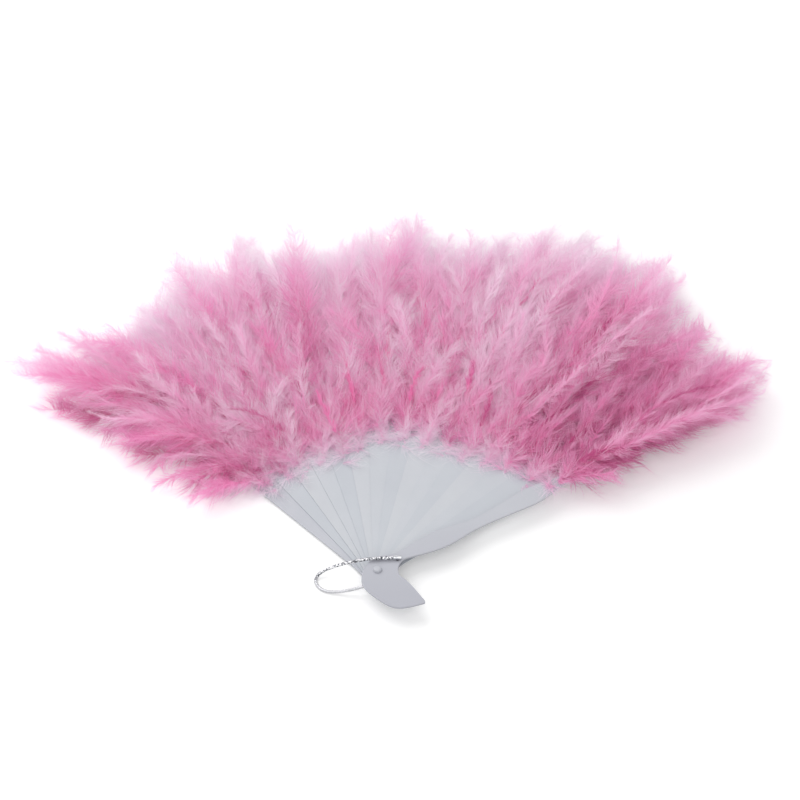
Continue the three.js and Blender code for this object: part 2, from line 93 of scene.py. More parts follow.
class Nodes:
    """A short way to add and link the shader nodes of a material or a world."""

    # The places of a Mix node's sockets when it mixes colours.
    MIX_FACTOR, MIX_A, MIX_B, MIX_RESULT = 0, 6, 7, 2

    def __init__(self, owner):
        owner.use_nodes = True
        self.owner = owner
        self.tree = owner.node_tree
        self.shader = self.tree.nodes.get("Principled BSDF")

    def add(self, kind, **values):
        """A new node, with values for its inputs or else its settings."""
        node = self.tree.nodes.new(kind)
        for key, value in values.items():
            name = key.replace("_", " ")
            if name in node.inputs:
                node.inputs[name].default_value = value
            else:
                setattr(node, key, value)
        return node

    def link(self, out, into):
        self.tree.links.new(out, into)

    def feed(self, value, socket):
        """Links another node's output, or sets a number or a colour."""
        if isinstance(value, bpy.types.NodeSocket):
            self.link(value, socket)
        elif isinstance(value, tuple):
            socket.default_value = (*value, 1)
        else:
            socket.default_value = value

    def set(self, **values):
        """Sets or links inputs of the material's shader."""
        for key, value in values.items():
            self.feed(value, self.shader.inputs[key.replace("_", " ")])

    def stretched(self, scale):
        place = self.add("ShaderNodeTexCoord")
        node = self.add("ShaderNodeMapping", Scale=scale)
        self.link(place.outputs["Object"], node.inputs["Vector"])
        return node.outputs["Vector"]

    def noise(self, scale, detail, rough=0.5):
        node = self.add("ShaderNodeTexNoise", Scale=1.0, Detail=detail, Roughness=rough)
        self.link(self.stretched(scale), node.inputs["Vector"])
        return node.outputs["Fac"]

    def ramp(self, fac, stops):
        node = self.add("ShaderNodeValToRGB")
        marks = node.color_ramp.elements
        while len(marks) < len(stops):
            marks.new(0.5)
        for mark, (place, colour) in zip(marks, stops):
            mark.position = place
            mark.color = (*colour, 1)
        self.link(fac, node.inputs["Fac"])
        return node.outputs["Color"]

    def mix(self, fac, a, b):
        node = self.add("ShaderNodeMix", data_type="RGBA")
        self.feed(fac, node.inputs[self.MIX_FACTOR])
        self.feed(a, node.inputs[self.MIX_A])
        self.feed(b, node.inputs[self.MIX_B])
        return node.outputs[self.MIX_RESULT]

    def calc(self, operation, a, b):
        node = self.add("ShaderNodeMath", operation=operation)
        for value, socket in zip((a, b), node.inputs):
            self.feed(value, socket)
        return node.outputs["Value"]

    def map_range(self, value, start, end, low=0.0, high=1.0):
        node = self.add(
            "ShaderNodeMapRange", From_Min=start, From_Max=end, To_Min=low, To_Max=high
        )
        self.link(value, node.inputs["Value"])
        return node.outputs["Result"]

    def split(self, vector):
        node = self.add("ShaderNodeSeparateXYZ")
        self.link(vector, node.inputs["Vector"])
        return node.outputs

    def fade_along_y(self, start, end, most=1.0):
        """A value that grows from 0 to its most between two places on the piece's Y axis."""
        place = self.add("ShaderNodeTexCoord").outputs["Object"]
        return self.map_range(self.split(place)["Y"], start, end, high=most)

    def bump(self, height, strength, distance):
        node = self.add("ShaderNodeBump", Strength=strength, Distance=distance)
        self.link(height, node.inputs["Height"])
        self.link(node.outputs["Normal"], self.shader.inputs["Normal"])


def new_material(name):
    return Nodes(bpy.data.materials.new(name))


def srgb(r, g, b):
    def linear(c):
        c /= 255
        return c / 12.92 if c <= 0.04045 else ((c + 0.055) / 1.055) ** 2.4

    return (linear(r), linear(g), linear(b))


def lerp(pair, t):
    return pair[0] + (pair[1] - pair[0]) * t


def smooth(x):
    x = np.clip(x, 0, 1)
    return x * x * (3 - 2 * x)


def unit(v):
    return v / np.maximum(np.linalg.norm(v, axis=-1, keepdims=True), 1e-12)


def add_mesh(mesh):
    obj = bpy.data.objects.new(mesh.name, mesh)
    scene.collection.objects.link(obj)
    return obj


def mesh_object(name, verts, faces, rounded=True):
    mesh = bpy.data.meshes.new(name)
    mesh.from_pydata([tuple(v) for v in verts], [], [tuple(f) for f in faces])
    mesh.validate()
    if rounded:
        mesh.shade_smooth()
    return add_mesh(mesh)


def ring_faces(first, rings, sides):
    """Faces of a closed tube, whose rings of points follow each other from the first point on."""
    faces = []
    for i in range(rings - 1):
        at, to = first + i * sides, first + (i + 1) * sides
        for m in range(sides):
            n = (m + 1) % sides
            faces.append((at + m, at + n, to + n, to + m))
    end = first + rings * sides
    faces.append(range(first + sides - 1, first - 1, -1))
    faces.append(range(end - sides, end))
    return faces


def stick_name(k):
    if k == 0:
        return "rear_guard"
    return "front_guard" if k == LAST else f"stave_{k:02d}"


def stick_axes(k):
    """A stick's angle in radians, its direction and the direction to the next stick."""
    angle = math.radians(REAR_ANGLE - OPENING * k / LAST)
    outward = np.array([math.cos(angle), math.sin(angle), 0])
    onward = np.array([math.sin(angle), -math.cos(angle), 0])
    return angle, outward, onward


# Cord: three silver plies twisted round the route that the part's source gives, in millimetres.
FRONT_LEVEL = 15.58
GAP_LEVEL = 10.68
CORD_ROUTE = [
    (9.97, 8.66, FRONT_LEVEL), (5, 8.3, FRONT_LEVEL), (0, 8, FRONT_LEVEL),
    (-6, 7.5, FRONT_LEVEL - 0.1), (-12, 6.9, FRONT_LEVEL - 0.8), (-18, 6.7, FRONT_LEVEL - 2.4),
    (-24, 6.8, 10.6), (-29.5, 7, 7.4), (-34.5, 6.8, 4.4), (-38.2, 5, 2.2), (-39.8, 1.8, 1.4),
    (-39.2, -1.8, 1.2), (-36.6, -5.4, 1.2), (-32, -7.8, 1.4), (-25, -8.7, 2.3), (-18, -9, 4.2),
    (-12, -9.2, 6.8), (-6.5, -9.4, GAP_LEVEL - 1), (-1, -9, GAP_LEVEL), (4, -7.4, GAP_LEVEL),
    (8, -4.4, GAP_LEVEL), (10.7, -0.6, GAP_LEVEL), (12, 3, GAP_LEVEL), (12.33, 6.04, GAP_LEVEL),
]
CORD_STEPS = 30
CORD_DIAMETER = 0.0022
# A direction that the route never follows, from which the plies' turning is measured.
CORD_UP = [0.05, 0.1, 1]
PLIES = 3
PLY_TWIST = 0.0036
PLY_SHARE = 0.52
PLY_SIDES = 8
# Between these places on the Y axis, the silver thread gives way to the plain lower strand.
CORD_FADE = (0.004, -0.006)
CORD_PLAIN = 0.8
# The thread's fine flecks, which also make its bump, and broader glints, as noise waves per metre.
# Dark flecks are painted shade in the grooves between the plies; white flecks and the broader glints
# are painted glints.
THREAD_FLECKS = (900, 900, 900)
THREAD_GLINTS = (160, 160, 160)


def catmull(points, per_span):
    """Centripetal Catmull-Rom curve through the points."""
    p = np.vstack([2 * points[0] - points[1], points, 2 * points[-1] - points[-2]])
    spans = np.sqrt(np.linalg.norm(np.diff(p, axis=0), axis=1))
    knots = np.concatenate([[0], np.cumsum(spans)])
    out = []
    for i in range(1, len(p) - 2):
        t0, t1, t2, t3 = knots[i - 1:i + 3]
        t = np.linspace(t1, t2, per_span, endpoint=False)[:, None]
        a1 = (t1 - t) / (t1 - t0) * p[i - 1] + (t - t0) / (t1 - t0) * p[i]
        a2 = (t2 - t) / (t2 - t1) * p[i] + (t - t1) / (t2 - t1) * p[i + 1]
        a3 = (t3 - t) / (t3 - t2) * p[i + 1] + (t - t2) / (t3 - t2) * p[i + 2]
        b1 = (t2 - t) / (t2 - t0) * a1 + (t - t0) / (t2 - t0) * a2
        b2 = (t3 - t) / (t3 - t1) * a2 + (t - t1) / (t3 - t1) * a3
        out.append((t2 - t) / (t2 - t1) * b1 + (t - t1) / (t2 - t1) * b2)
    return np.vstack(out + [points[-1:]])


def silver_material():
    m = new_material("silver_thread")
    fine = m.noise(THREAD_FLECKS, detail=2.0)
    broad = m.noise(THREAD_GLINTS, detail=2.0)
    # Painted shade in the plies' grooves and painted glints, from the flecks and the broader noise.
    tone = m.ramp(fine, [
        (0.4, srgb(58, 60, 66)),
        (0.49, srgb(170, 172, 178)),
        (0.59, srgb(250, 250, 252)),
    ])
    sparkle = m.ramp(broad, [(0.42, (0, 0, 0)), (0.6, (0.4, 0.4, 0.4))])
    tone = m.mix(sparkle, tone, srgb(226, 226, 230))
    tone = m.mix(m.fade_along_y(*CORD_FADE, CORD_PLAIN), tone, srgb(212, 212, 216))
    m.set(Base_Color=tone, Metallic=0.75, Roughness=0.3)
    m.bump(fine, strength=0.5, distance=0.0002)
    return m.owner


def make_cord():
    line = catmull(np.array(CORD_ROUTE) / MM, CORD_STEPS)
    steps = np.concatenate([[0], np.cumsum(np.linalg.norm(np.diff(line, axis=0), axis=1))])
    tangent = unit(np.gradient(line, axis=0))
    side = unit(np.cross(tangent, CORD_UP))
    up = np.cross(side, tangent)
    ply = CORD_DIAMETER / 2 * PLY_SHARE
    orbit = CORD_DIAMETER / 2 - ply
    verts, faces = [], []
    for j in range(PLIES):
        turn = 2 * math.pi * (steps / PLY_TWIST + j / PLIES)
        out = np.cos(turn)[:, None] * side + np.sin(turn)[:, None] * up
        middle = line + orbit * out
        along = unit(np.gradient(middle, axis=0))
        a = unit(np.cross(along, out))
        b = np.cross(a, along)
        faces += ring_faces(len(verts), len(line), PLY_SIDES)
        for i in range(len(line)):
            for m in range(PLY_SIDES):
                angle = 2 * math.pi * m / PLY_SIDES
                verts.append(middle[i] + ply * (math.cos(angle) * a[i] + math.sin(angle) * b[i]))
    obj = mesh_object("silver_cord", verts, faces)
    obj.data.materials.append(silver_material())
    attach(obj, "front_guard")
    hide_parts("wrist_cord")


make_cord()


# Sticks, rivet and clip keep their CAD shapes and get materials only.
# Noise waves per metre along X, Y and Z.
PLASTIC_CLOUDS = (26, 26, 60)
PLASTIC_GRAIN = (700, 700, 700)
METAL_SCRATCHES = (300, 2500, 300)
# How much smoother and rougher than its mean the plastic is in its clouds.
PLASTIC_SMOOTHER = 0.06
PLASTIC_ROUGHER = 0.08
# Between these places on the Y axis, the front guard grows darker towards its tail: painted shade,
# as the light falls from above.
TAIL_SHADE_SPAN = (0.05, -0.02)


def plastic_material(name, pale, shade, rough, tail=None):
    """Clouded plastic with a fine grain, which may grow darker towards the stick's tail as painted
    shade.
    """
    m = new_material(name)
    cloud = m.noise(PLASTIC_CLOUDS, detail=4.0, rough=0.6)
    grain = m.noise(PLASTIC_GRAIN, detail=3.0)
    tint = m.ramp(cloud, [(0.3, srgb(*shade)), (0.7, srgb(*pale))])
    if tail:
        # Painted shade, darker towards the tail.
        tint = m.mix(m.fade_along_y(*TAIL_SHADE_SPAN), tint, srgb(*tail))
    varied = m.map_range(cloud, 0, 1, rough - PLASTIC_SMOOTHER, rough + PLASTIC_ROUGHER)
    m.set(Base_Color=tint, Roughness=varied)
    m.bump(grain, strength=0.06, distance=0.0003)
    return m.owner


def metal_material():
    m = new_material("clip_metal")
    scratch = m.noise(METAL_SCRATCHES, detail=3.0)
    tone = m.ramp(scratch, [(0.35, srgb(168, 170, 175)), (0.65, srgb(222, 223, 226))])
    m.set(Base_Color=tone, Metallic=1.0, Roughness=0.28)
    m.bump(scratch, strength=0.12, distance=0.0002)
    return m.owner


def dress(node, material):
    mesh = nodes[node].data
    mesh.materials.clear()
    mesh.materials.append(material)


def dress_cad_pieces():
    staves = [
        plastic_material("stave_plastic_a", (193, 196, 202), (187, 191, 197), 0.4),
        plastic_material("stave_plastic_b", (190, 194, 200), (184, 188, 195), 0.41),
        plastic_material("stave_plastic_c", (195, 198, 203), (189, 192, 198), 0.39),
    ]
    for k in range(1, LAST):
        dress(stick_name(k), staves[k % len(staves)])
    rear = plastic_material("guard_plastic", (190, 192, 199), (182, 184, 192), 0.36)
    dress("rear_guard", rear)
    # The front guard's darker tail colour is painted shade.
    front = plastic_material(
        "tail_plastic", (190, 192, 199), (184, 186, 193), 0.36, tail=(174, 175, 184)
    )
    dress("front_guard", front)
    rivet = plastic_material("rivet_plastic", (188, 190, 197), (180, 182, 190), 0.34)
    for name in ("pivot_rivet", "rivet_cap", "spacer_washer"):
        dress(name, rivet)
    dress("cord_clip", metal_material())


dress_cad_pieces()


# Ribbon links between the sticks: thin satin strips with rolled edges. Sizes are in millimetres.
STICK_TONGUE = 3.5
STICK_PLAY = 0.08
RIBBON_AT = 168
RIBBON_NEAR = 3.8
RIBBON_FAR = RIBBON_AT * math.sin(math.radians(OPENING / LAST))
RIBBON_DEPTH = 0.3
RIBBON_STEPS = 40
# The ripple's height, and its waves along and across the strip in radians per millimetre.
RIBBON_RIPPLE = 0.03
RIPPLE_ALONG = 1.9
RIPPLE_ACROSS = 0.8
# The strip's section: a bead, the web's underside, the other bead and the web's upper side.
BEAD = [
    (2.74, -0.05), (2.8, -0.1), (2.88, -0.12), (2.96, -0.09), (3, 0),
    (2.96, 0.09), (2.88, 0.12), (2.8, 0.1), (2.74, 0.05),
]
WEB = [1.4, 0, -1.4]
WEB_HALF = 0.05
RIBBON_SECTION = [(-x, -z) for x, z in BEAD]
RIBBON_SECTION += [(-x, -WEB_HALF) for x in WEB]
RIBBON_SECTION += BEAD
RIBBON_SECTION += [(x, WEB_HALF) for x in WEB]
# The weave's waves per metre along X, Y and Z.
SATIN_WEAVE = (2600, 2600, 300)


def satin_material():
    m = new_material("satin_ribbon")
    weave = m.add("ShaderNodeTexWave", Scale=1.0, Distortion=0.4, Detail=1.0)
    m.link(m.stretched(SATIN_WEAVE), weave.inputs["Vector"])
    weave = weave.outputs["Fac"]
    tone = m.ramp(weave, [(0.2, srgb(206, 116, 158)), (0.8, srgb(232, 160, 196))])
    m.set(Base_Color=tone, Roughness=0.38, Sheen_Weight=0.3)
    m.bump(weave, strength=0.2, distance=0.0001)
    return m.owner


def ribbon_strip(k):
    """A strip from stick k to the next one: a thin rippled web with a bead along both edges."""
    _, outward, onward = stick_axes(k)
    run = np.linspace(RIBBON_NEAR, RIBBON_FAR, RIBBON_STEPS)
    climb = smooth((run - RIBBON_NEAR) / (RIBBON_FAR - STICK_TONGUE - RIBBON_NEAR))
    low = STICK_BOTTOMS[k] + STICK_DEPTHS[k] - RIBBON_DEPTH / 2
    high = STICK_BOTTOMS[k + 1] - STICK_PLAY - RIBBON_DEPTH / 2
    verts = []
    for y, level in zip(run, lerp((low, high), climb)):
        for x, z in RIBBON_SECTION:
            ripple = RIBBON_RIPPLE * math.sin(RIPPLE_ALONG * y + RIPPLE_ACROSS * x + k)
            at = outward * (RIBBON_AT + x) + onward * y
            verts.append((at + np.array([0, 0, level + z + ripple])) / MM)
    return verts, ring_faces(0, RIBBON_STEPS, len(RIBBON_SECTION))


def make_ribbons():
    satin = satin_material()
    for k in range(LAST):
        obj = mesh_object(f"satin_link_{k + 1:02d}", *ribbon_strip(k))
        obj.data.materials.append(satin)
        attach(obj, stick_name(k))
        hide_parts(f"ribbon_{k + 1:02d}")


make_ribbons()


# Feathers: each stick carries rows of marabou feathers, whose barbs are fine tapering strands.
Row = namedtuple("Row", "past count lengths lifts turn widths spread spacing tone pale fine")


def feather_row(past, count, lengths, lifts, turn, widths, spread, spacing, tone, pale, fine=1):
    """One row of feathers on a stick.

    Distances past the first root, the number of feathers and their lengths, lifts and sideways
    turn in degrees, half widths, barb angles at root and tip, barb spacing, tone, and how pale and
    how fine the barbs are. Lengths are given in millimetres, and the spacing in micrometres.
    """
    past, lengths, widths = (tuple(x / MM for x in pair) for pair in (past, lengths, widths))
    spacing = spacing / (MM * MM)
    return Row(past, count, lengths, lifts, turn, widths, spread, spacing, tone, pale, fine)


# The under rows' deeper tone and lower paleness paint shade into the gaps between the upper rows.
UNDER = [
    feather_row((0, 14), 3, (45, 68), (10, 32), 26, (20, 28), (92, 54), 220, 0.28, 0.6),
    feather_row((30, 50), 3, (65, 90), (22, 44), 18, (22, 32), (92, 54), 220, 0.28, 0.6),
    feather_row((60, 85), 3, (98, 124), (12, 34), 12, (22, 32), (92, 54), 220, 0.36, 0.72),
]
OVER = [
    feather_row((-4, 8), 5, (36, 56), (14, 40), 32, (13, 20), (74, 46), 240, 0.72, 1.0),
    feather_row((12, 28), 4, (48, 70), (24, 50), 26, (13, 21), (72, 44), 240, 0.66, 1.0),
    feather_row((30, 46), 4, (54, 78), (26, 50), 22, (13, 21), (72, 44), 240, 0.66, 1.0),
    feather_row((50, 66), 4, (68, 94), (22, 46), 18, (14, 22), (72, 44), 240, 0.66, 1.0),
    feather_row((72, 92), 6, (94, 126), (10, 36), 15, (15, 24), (72, 44), 240, 0.66, 1.0),
]
DOWN = [
    feather_row((-8, 6), 10, (10, 24), (0, 14), 125, (12, 24), (80, 40), 600, 0.85, 1.0, 0.58),
]
BACK = [
    feather_row((20, 50), 2, (66, 86), (0, 6), 14, (22, 34), (90, 52), 300, 0.45, 0.8),
    feather_row((62, 90), 4, (98, 124), (0, 8), 12, (22, 34), (90, 52), 300, 0.5, 0.9),
]
# Narrow dusky feathers lying in the pile: painted shadows between the tufts.
PAINTED_SHADOWS = [
    feather_row((10, 40), 1, (34, 48), (8, 22), 16, (6, 9), (40, 16), 180, -0.12, 0.3, 0.9),
    feather_row((46, 80), 1, (36, 52), (8, 22), 14, (6, 9), (40, 16), 180, -0.12, 0.3, 0.9),
]

FEATHER_SEED = 4100
# Roots sit just above the stick or, at its back, below it. The painted shadow streaks begin higher,
# in the pile.
FRONT_SEAT = 0.0008
BACK_SEAT = 0.0006
PAINTED_SHADOW_SEAT = 0.0115
# How unevenly the feathers of a row take their turns, and how far their roots are off the middle.
ROOT_JITTER = (0.1, 0.9)
ROOT_SIDE = 0.003
# Where the feathers begin on each stick, rear to front, in millimetres from the pivot.
FIRST_ROOTS = [106, 107, 107, 108, 105, 111, 117, 116, 117, 115, 116, 119, 122, 128, 136]

# How far the feathers reach from the pivot, in millimetres: a value on each stick's line, rear to
# front, with three more lines past the rear guard and two past the front guard.
OUTLINE = [
    180, 306, 304, 262, 264, 292, 287, 282, 272, 290,
    286, 284, 314, 304, 318, 294, 283, 301, 266, 150,
]
OUTLINE_BEFORE = 3
OUTLINE_MEAN = 284
# How far single barbs may reach past it.
OUTLINE_SLACK = 0.006

# More feathers in each row of the three sticks at the rear.
REAR_EXTRA = {0: 2, 1: 3, 2: 2}
# More length for the outermost rows at the fan's ends, in millimetres.
END_LENGTHS = {0: 34, 1: 20, LAST: 20}
# A power below 1 crowds the rear guard's feathers towards its free side.
REAR_LEAN = 0.6
# How many degrees the end sticks' feathers turn away from the fan at most. At the rear, the outer
# rows turn less, and so do the next sticks.
REAR_FLARE = 52
REAR_FLARE_LOSS = 15
REAR_FLARE_FADE = 0.7
REAR_FLARE_STICKS = 3
FRONT_FLARE = -3

# A stem rises, bows over, curls sideways and stays below a height.
STEM_POINTS = 9
STEM_TOP = 0.034
STEM_BOWS = (1.0, 1.9)
STEM_CURL = 0.45
# It ends before the feather does, by a share of the half width, and is cut unevenly at the
# outline, but keeps this share of its length.
STEM_SHORT = 0.55
STEM_CUTS = (-0.008, 0.012)
STEM_LEAST = 0.4
# Its tone, its colour places from root to tip, and its width in barbs.
STEM_TONE = 0.7
STEM_PLACES = (0.2, 0.9)
STEM_WIDTH = 2.0

# Barbs come in wisps. A pair named scatter is that of wisps, then that of single barbs.
BARB_POINTS = 4
# How many barbs on one side of the stem make up a wisp.
CLUMP = 14
# How unevenly barbs sit on the stem, and how far the feather is turned about it, in radians.
BARB_JITTER = 0.006
FEATHER_TILT = 0.35
# A row's barb angle at the tip is reached at this place on the stem.
SPREAD_DONE = 0.9
SPREAD_SCATTER = (0.26, 0.22)
# How far barbs stand up from the feather's plane, in radians.
ROLL = 0.2
ROLL_SCATTER = (0.34, 0.42)
# Barbs reach a share of the half width, which grows at the stem's root and falls towards its tip.
REACH_AT_ROOT = 0.65
REACH_FULL = 0.25
REACH_FADE = 0.5
REACH_LOSS = 0.25
WISP_REACHES = (0.6, 1.3)
BARB_REACHES = (0.55, 1.15)
# A few barbs are longer than the rest.
LONG_SHARE = 0.02
LONG_REACHES = (1.2, 1.6)
# Barbs bend towards the stem's direction and hang down a little.
BEND = 0.85
BEND_SCATTER = (0.38, 0.12)
BEND_DOWN = (0.0, 0.25)
# The barbs of a wisp draw together towards their tips.
WISP_DRAW = (0.0, 0.4)
WISP_POWER = 1.4
# How unevenly barbs face upwards.
FACE_UNEVEN = 0.2
# Barbs taper, and are finer near the stem's tip and at the outline.
BARB_WIDTH = 0.0002
BARB_WIDTHS = (0.7, 1.3)
TAPER = 0.7
TAPER_POWER = 1.5
WIDTH_AT_ROOT = 1.1
WIDTH_LOSS = 0.35
WIDTH_LOSS_FAR = 0.42

# Tones run from 0, dusky, mostly painted shade, over deep pink to 1, pale.
TONE_DEEP = 0.35
# A feather's own tone is drawn about its row's and made milder.
TONE_BASE = 0.37
TONE_SHARE = 0.65
TONE_SPREAD = 0.18
TONE_SCATTER = (0.06, 0.04)
# Tones fall over some sticks towards the front guard: painted shade on the side away from the key
# light.
FRONT_SHADE = 0.36
FRONT_SHADE_FROM = 9
FRONT_SHADE_OVER = 4
# They fall at both ends of the fan as painted shade: the direction where that begins and the
# degrees it takes.
REAR_END = (134, 30)
FRONT_END = (54, 20)
REAR_END_SHADE = 0.18
FRONT_END_SHADE = 0.07
# They rise at the outline's rim, where the tips are paler of their own and with painted light
# shining through, which shows less at the fan's shaded ends, and near the inner edge, and fall in
# the depth of the pile as painted shade.
FAR_FROM = 0.058
FAR_OVER = 0.055
RIM_TONE = 0.13
RIM_LOSS = 0.75
NEAR_OVER = 0.03
NEAR_TONE = 0.1
DEPTH_FROM = 0.003
DEPTH_OVER = 0.013
DEPTH_TONE = 0.3
# A colour place, from 0 to 1, grows along the stem and along the barb. It too rises at the rim,
# partly as painted light, and near the inner edge, and falls in the depth of the pile as painted
# shade.
PLACE_ROOT = 0.1
PLACE_STEM = 0.4
PLACE_STEM_POWER = 1.2
PLACE_BARB = (0.6, 0.4)
PLACE_BARB_POWER = 0.9
PLACE_RIM = 0.2
PLACE_NEAR = 0.2
PLACE_DEPTH = 0.45
# The UV map keeps a margin. A strand's two edges differ a little, so that its UV faces have an area.
UV_MARGIN = 0.02
UV_HALF = 0.006

# The feathers stay between these heights, and are pressed together softly on the way there.
FLOOR_CLEARANCE = 0.0004
FLOOR_SOFT = 0.0025
CEILING = 0.0445
CEILING_SOFT = 0.036

# Colours of dusky, deep and pale tones, at four places between root and tip. The dusky colours are
# mostly painted shade.
MARABOU_PLACES = (0.0, 0.35, 0.7, 1.0)
SHADED_PINKS = [(212, 96, 156), (224, 142, 188), (234, 182, 212), (243, 208, 228)]
DEEP = [(251, 138, 202), (254, 184, 225), (255, 219, 242), (255, 238, 249)]
PALE = [(255, 219, 242), (255, 237, 249), (255, 246, 253), (255, 253, 255)]
# The share of the translucent shader, which lets light through the barbs.
SHINE_THROUGH = 0.5


def reach_limit(x, y):
    """How far from the pivot the feathers may reach in a point's direction."""
    line = (REAR_ANGLE - np.degrees(np.arctan2(y, x))) * LAST / OPENING
    return np.interp(line, np.arange(len(OUTLINE)) - OUTLINE_BEFORE, OUTLINE) / MM


def end_shade(heading):
    """How far a feather's direction is towards one of the fan's ends, from 0 to 1, for the ends'
    painted shade.
    """
    turned = math.degrees(heading)
    rear = (turned - REAR_END[0]) / REAR_END[1]
    front = (FRONT_END[0] - turned) / FRONT_END[1]
    return max(smooth(rear), smooth(front))


def flare(k, t, outer):
    """The end sticks' feathers fan out past the guards, most of all near the rear guard's roots."""
    if k < REAR_FLARE_STICKS:
        return t * (REAR_FLARE - REAR_FLARE_LOSS * outer) / (1 + REAR_FLARE_FADE * k)
    return t * FRONT_FLARE if k == LAST else 0.0


def scatter(rng, middle, amounts, wisp, *axes):
    """Random values about a middle: one step for each wisp and one for each barb."""
    by_wisp, by_barb = amounts
    steps = rng.normal(0, by_wisp, (wisp.max() + 1, *axes))[wisp]
    return middle + steps + rng.normal(0, by_barb, (len(wisp), *axes))


def stem_line(root, heading, lift, bow, curl, length):
    """Points along a stem that rises, bows over and curls to one side."""
    t = (np.arange(STEM_POINTS - 1) + 0.5) / (STEM_POINTS - 1)
    rise = lift * (1 - bow * t)
    turn = heading + curl * t * t
    step = np.stack([np.cos(rise) * np.cos(turn), np.cos(rise) * np.sin(turn), np.sin(rise)], 1)
    return root + np.vstack([np.zeros(3), np.cumsum(step, 0)]) * (length / (STEM_POINTS - 1))


def feather_stem(rng, row, root, heading, lift, length):
    """A feather's half width, the length of its stem and points along the stem."""
    half_width = rng.uniform(*row.widths)
    bow = rng.uniform(*STEM_BOWS)
    curl = rng.normal(0, STEM_CURL)
    shaft = max(STEM_LEAST * length, length - STEM_SHORT * half_width)
    stem = stem_line(root, heading, lift, bow, curl, shaft)
    rise = stem[:, 2].max() - root[2]
    if root[2] + rise > STEM_TOP:
        lift *= (STEM_TOP - root[2]) / rise
    x, y = stem[-1, :2]
    past = math.hypot(x, y) - reach_limit(x, y) + rng.uniform(*STEM_CUTS)
    shaft = max(STEM_LEAST * shaft, shaft - max(0, past))
    return half_width, shaft, stem_line(root, heading, lift, bow, curl, shaft)


def feather_barbs(rng, row, half_width, shaft, stem):
    """The barbs' places on the stem, wisps, centrelines and face directions.

    Two more values say which barbs end inside the outline and where the stem's strips face.
    """
    n = int(shaft / row.spacing) + CLUMP
    count = 2 * n
    s = np.clip(np.repeat(np.linspace(0, 1, n), 2) + rng.normal(0, BARB_JITTER, count), 0, 1)
    side = np.tile([-1.0, 1.0], n)
    places = np.linspace(0, 1, STEM_POINTS)
    slope = np.gradient(stem, axis=0)
    start = np.stack([np.interp(s, places, stem[:, i]) for i in range(3)], 1)
    along = unit(np.stack([np.interp(s, places, slope[:, i]) for i in range(3)], 1))
    level = unit(np.cross(along, [0, 0, 1.0]))
    upright = np.cross(level, along)
    tilt = rng.normal(0, FEATHER_TILT)
    across = math.cos(tilt) * level + math.sin(tilt) * upright
    up = math.cos(tilt) * upright - math.sin(tilt) * level
    # Neighbouring barbs on one side of the stem belong to one wisp.
    wisp = (np.arange(count) // 2 // CLUMP) * 2 + (side > 0)
    wisps = wisp.max() + 1
    spread = np.radians(lerp(row.spread, smooth(s / SPREAD_DONE)))
    spread += scatter(rng, 0, SPREAD_SCATTER, wisp)
    roll = scatter(rng, ROLL, ROLL_SCATTER, wisp)
    out = side[:, None] * np.cos(roll)[:, None] * across + np.sin(roll)[:, None] * up
    first = np.cos(spread)[:, None] * along + np.sin(spread)[:, None] * out
    reach = lerp((REACH_AT_ROOT, 1), smooth(s / REACH_FULL))
    reach *= 1 - REACH_LOSS * smooth((s - REACH_FADE) / (1 - REACH_FADE))
    own_reach = half_width * rng.uniform(*WISP_REACHES, wisps)[wisp]
    reach *= own_reach * rng.uniform(*BARB_REACHES, count)
    reach *= np.where(rng.random(count) < LONG_SHARE, rng.uniform(*LONG_REACHES, count), 1)
    bend = scatter(rng, BEND * (along - first), BEND_SCATTER, wisp, 3)
    bend[:, 2] -= rng.uniform(*BEND_DOWN, count)
    u = np.linspace(0, 1, BARB_POINTS)[:, None]
    lines = u * first[:, None] + 0.5 * u * u * bend[:, None]
    lines = start[:, None] + reach[:, None, None] * lines
    x, y = lines[:, -1, 0], lines[:, -1, 1]
    inside = np.hypot(x, y) < reach_limit(x, y) + OUTLINE_SLACK
    # The barbs of a wisp draw together towards their tips.
    total = np.zeros((wisps, BARB_POINTS, 3))
    np.add.at(total, wisp, lines)
    middle = total / np.bincount(wisp, minlength=wisps)[:, None, None]
    draw = rng.uniform(*WISP_DRAW, wisps)[wisp][:, None, None]
    lines += draw * u ** WISP_POWER * (middle[wisp] - lines)
    face = unit(up + rng.normal(0, FACE_UNEVEN, (count, 3)))
    return s, wisp, lines, face, inside, [up[0], across[0]]


